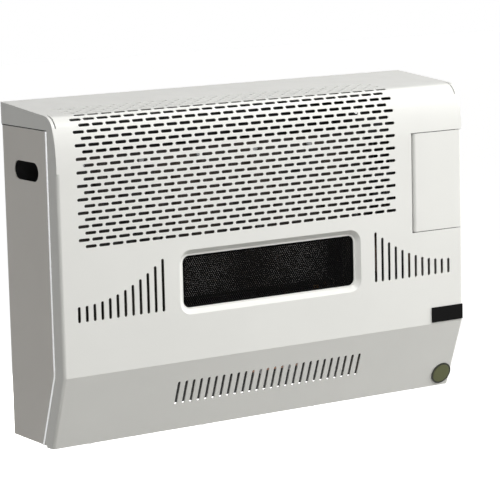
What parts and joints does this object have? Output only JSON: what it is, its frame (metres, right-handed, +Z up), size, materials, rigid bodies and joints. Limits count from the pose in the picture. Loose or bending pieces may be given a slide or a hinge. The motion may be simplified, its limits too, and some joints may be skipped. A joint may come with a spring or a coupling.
{
  "type": "wall mounted gas heater",
  "caption": "Flat balanced-flue wall heater with a perforated curved front, dished sight window and a hinged flap over its control knob and igniter button.",
  "frame": {"origin": "centre of the four wall fixing holes, on the plane of the wall", "axes": "+X to the right seen from the front, +Y into the wall, +Z up"},
  "size_m": [0.652, 0.2415, 0.456],
  "materials": {
    "enamel_white": "satin baked enamel, off-white",
    "guard_black": "matt black perforated steel",
    "zinc_plate": "zinc plated",
    "badge_black": "gloss black, bare",
    "emblem_olive": "olive disc with a dark rim, bare",
    "dark_plastic": "dark grey",
    "tray_grey": "dark grey enamel",
    "dial_plate": "printed with plain marks",
    "steel_plain": "turned steel",
    "cast_alloy": "die-cast",
    "brass_plain": "turned brass",
    "enamel_grey": "satin baked enamel, a shade darker than the front",
    "galvanised": "galvanised sheet",
    "hot_steel": "heat-resistant dark grey enamel",
    "ceramic_rope": "ceramic fibre",
    "sight_glass": "heat-resistant glass",
    "copper_plain": "copper",
    "ceramic_white": "glazed ceramic",
    "aluminium_pipe": "bare aluminium pipe",
    "lead_red": "silicone sleeve",
    "seal_rubber": "black foam rubber"
  },
  "bodies": {
    "casing": {"front_cover": "enamel_white", "window_guard": "guard_black", "guard_clips": "zinc_plate", "badge_plate": "badge_black", "round_emblem": "emblem_olive", "flap_hinge_lugs": "zinc_plate", "flap_magnet": "dark_plastic", "magnet_bracket": "zinc_plate", "control_tray": "tray_grey", "dial_ring": "dial_plate", "piezo_igniter": "dark_plastic", "piezo_nut": "zinc_plate", "gas_valve": "cast_alloy", "spindle_bush": "brass_plain", "valve_bracket": "zinc_plate", "left_side_panel": "enamel_grey", "right_side_panel": "enamel_grey", "back_plate": "tray_grey", "air_duct": "galvanised", "base_rail": "tray_grey", "cover_screws": "zinc_plate", "combustion_chamber": "hot_steel", "chamber_front": "hot_steel", "chamber_screws": "zinc_plate", "chamber_brackets": "galvanised", "glass_gasket": "ceramic_rope", "sight_glass": "sight_glass", "glass_frame": "hot_steel", "glass_frame_screws": "zinc_plate", "flue_baffle": "hot_steel", "burner_tube": "steel_plain", "burner_cradle": "steel_plain", "injector_holder": "brass_plain", "gas_injector": "brass_plain", "pilot_bracket": "steel_plain", "pilot_burner": "brass_plain", "thermocouple": "copper_plain", "ignition_electrode": "ceramic_white", "burner_pipe": "aluminium_pipe", "pilot_pipe": "aluminium_pipe", "thermocouple_lead": "copper_plain", "ignition_lead": "lead_red", "inlet_pipe": "copper_plain", "inlet_nipple": "brass_plain", "inlet_bracket": "zinc_plate", "thermostat_bulb": "copper_plain", "bulb_capillary": "copper_plain", "bulb_clips": "zinc_plate", "exhaust_tube": "steel_plain", "intake_tube": "steel_plain", "wall_seal": "seal_rubber", "heat_shield": "galvanised"},
    "flap": {"control_flap": "enamel_white", "flap_hinge_pins": "zinc_plate"},
    "valve_spindle": {"valve_spindle": "steel_plain"},
    "control_knob": {"control_knob": "dark_plastic"},
    "igniter_button": {"igniter_button": "dark_plastic"}
  },
  "joints": [
    {"name": "flap_hinge", "type": "hinge", "parent": "casing", "child": "flap", "pos_m": [0.3215, -0.1455, 0.0795], "axis": [0, 0, 1], "range_deg": [0, 110]},
    {"name": "valve_turn", "type": "hinge", "parent": "casing", "child": "valve_spindle", "pos_m": [0.27495, -0.118, 0.056], "axis": [0, -1, 0], "range_deg": [0, 240]},
    {"name": "knob_push", "type": "slide", "parent": "valve_spindle", "child": "control_knob", "axis": [0, 1, 0], "range_m": [0, 0.004], "stiffness_N_per_m": 800},
    {"name": "igniter_push", "type": "slide", "parent": "casing", "child": "igniter_button", "axis": [0, 1, 0], "range_m": [0, 0.006], "stiffness_N_per_m": 600}
  ]
}
